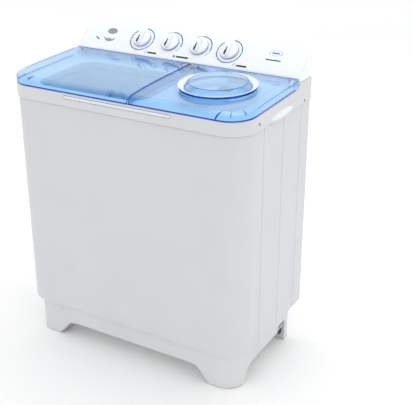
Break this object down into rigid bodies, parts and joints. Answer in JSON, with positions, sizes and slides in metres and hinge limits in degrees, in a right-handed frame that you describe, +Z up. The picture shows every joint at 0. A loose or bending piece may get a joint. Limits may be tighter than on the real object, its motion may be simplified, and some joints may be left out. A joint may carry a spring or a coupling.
{
  "type": "twin tub washer",
  "caption": "Twin tub washer: wash tub and spin drier under two clear tinted lids, dials on a sloping console, painted cabinet on a footed base.",
  "frame": {"origin": "centre of the footprint, on the floor", "axes": "+X to the machine's right, +Y to its back, +Z up"},
  "size_m": [0.786, 0.426, 0.9451],
  "materials": {
    "white_plastic": "satin moulded",
    "gloss_white": "high gloss",
    "painted_steel": "powder coat, light texture",
    "base_plastic": "satin moulded",
    "blue_clear": "clear tinted polycarbonate",
    "tub_plastic": "satin polypropylene",
    "grey_plastic": "satin moulded",
    "rubber": "matte",
    "steel": "machined",
    "motor_steel": "painted stampings"
  },
  "bodies": {
    "cabinet": {"base_plinth": "base_plastic", "foot_pad_front_left": "rubber", "foot_pad_front_right": "rubber", "foot_pad_rear_left": "rubber", "foot_pad_rear_right": "rubber", "wash_belt": "rubber", "spin_seal": "rubber", "cord_gland": "rubber", "cabinet_wrap": "painted_steel", "back_panel": "painted_steel", "back_screw_left": "steel", "back_screw_right": "steel", "frame_screw_front_left": "steel", "frame_screw_front_right": "steel", "frame_screw_rear_left": "steel", "frame_screw_rear_right": "steel", "spin_spring_right": "steel", "spin_spring_left": "steel", "spin_spring_front": "steel", "top_frame": "white_plastic", "console_rear_cover": "white_plastic", "console_panel": "gloss_white", "lint_filter": "blue_clear", "wash_tub": "tub_plastic", "spin_casing": "tub_plastic", "overflow_cover": "tub_plastic", "inlet_chute": "tub_plastic", "drain_valve_body": "tub_plastic", "wash_timer": "grey_plastic", "wash_mode_switch": "grey_plastic", "drain_selector": "grey_plastic", "spin_timer": "grey_plastic", "water_inlet_connector": "grey_plastic", "lid_switch": "grey_plastic", "drain_hose": "grey_plastic", "drain_elbow": "grey_plastic", "spin_drain_pipe": "grey_plastic", "capacitor": "grey_plastic", "wash_gearbox": "motor_steel", "wash_motor": "motor_steel", "spin_motor": "motor_steel"},
    "wash_lid": {"wash_lid": "blue_clear"},
    "spin_lid": {"spin_lid": "blue_clear", "window_ring": "gloss_white", "window_lens": "blue_clear"},
    "inner_lid": {"spin_inner_lid": "white_plastic"},
    "wash_timer_knob": {"wash_timer_knob": "gloss_white"},
    "wash_mode_knob": {"wash_mode_knob": "gloss_white"},
    "drain_knob": {"drain_knob": "gloss_white"},
    "spin_timer_knob": {"spin_timer_knob": "gloss_white"},
    "agitator": {"pulsator": "gloss_white", "wash_shaft": "steel", "wash_pulley": "motor_steel"},
    "wash_rotor": {"motor_pulley": "steel"},
    "spinner": {"spin_basket": "tub_plastic", "spin_shaft": "steel", "brake_drum": "steel"},
    "drain_plunger": {"drain_plunger": "grey_plastic"},
    "brake_lever": {"brake_lever": "steel"}
  },
  "joints": [
    {"name": "wash_lid_hinge", "type": "hinge", "parent": "cabinet", "child": "wash_lid", "pos_m": [-0.18, 0.1165, 0.8675], "axis": [-1, 0, 0], "range_deg": [0, 95]},
    {"name": "spin_lid_hinge", "type": "hinge", "parent": "cabinet", "child": "spin_lid", "pos_m": [0.222, 0.1165, 0.8675], "axis": [-1, 0, 0], "range_deg": [0, 95]},
    {"name": "inner_lid_hinge", "type": "hinge", "parent": "cabinet", "child": "inner_lid", "pos_m": [0.222, 0.083, 0.85476], "axis": [-1, 0, 0], "range_deg": [0, 76.5]},
    {"name": "wash_timer_turn", "type": "hinge", "parent": "cabinet", "child": "wash_timer_knob", "pos_m": [-0.1697, 0.1718, 0.91294], "axis": [0, 0.6455, -0.7638], "range_deg": [0, 315]},
    {"name": "wash_mode_turn", "type": "hinge", "parent": "cabinet", "child": "wash_mode_knob", "pos_m": [-0.0661, 0.1718, 0.91294], "axis": [0, 0.6455, -0.7638], "range_deg": [0, 150]},
    {"name": "drain_turn", "type": "hinge", "parent": "cabinet", "child": "drain_knob", "pos_m": [0.0375, 0.1718, 0.91294], "axis": [0, 0.6455, -0.7638], "range_deg": [0, 150]},
    {"name": "spin_timer_turn", "type": "hinge", "parent": "cabinet", "child": "spin_timer_knob", "pos_m": [0.1411, 0.1718, 0.91294], "axis": [0, 0.6455, -0.7638], "range_deg": [0, 315]},
    {"name": "agitator_spin", "type": "hinge", "parent": "cabinet", "child": "agitator", "pos_m": [-0.132, -0.049, 0.41], "axis": [0, 0, 1], "continuous": true},
    {"name": "wash_rotor_spin", "type": "hinge", "parent": "cabinet", "child": "wash_rotor", "pos_m": [-0.29, -0.049, 0.208], "axis": [0, 0, 1], "continuous": true},
    {"name": "spinner_spin", "type": "hinge", "parent": "cabinet", "child": "spinner", "pos_m": [0.222, -0.04, 0.43], "axis": [0, 0, 1], "continuous": true},
    {"name": "drain_plunger_lift", "type": "slide", "parent": "cabinet", "child": "drain_plunger", "axis": [0, 0, 1], "range_m": [0, 0.0125]},
    {"name": "brake_swing", "type": "hinge", "parent": "cabinet", "child": "brake_lever", "pos_m": [0.29, -0.02, 0.25], "axis": [0, 0, 1], "range_deg": [0, 1.2]}
  ],
  "couplings": [
    {"joint": "inner_lid_hinge", "follows": "spin_lid_hinge", "ratio": 0.8},
    {"joint": "wash_rotor_spin", "follows": "agitator_spin", "ratio": 3.6364},
    {"joint": "drain_plunger_lift", "follows": "drain_turn", "m_per_rad": 0.0045837},
    {"joint": "brake_swing", "follows": "spin_lid_hinge", "ratio": 0.012}
  ]
}
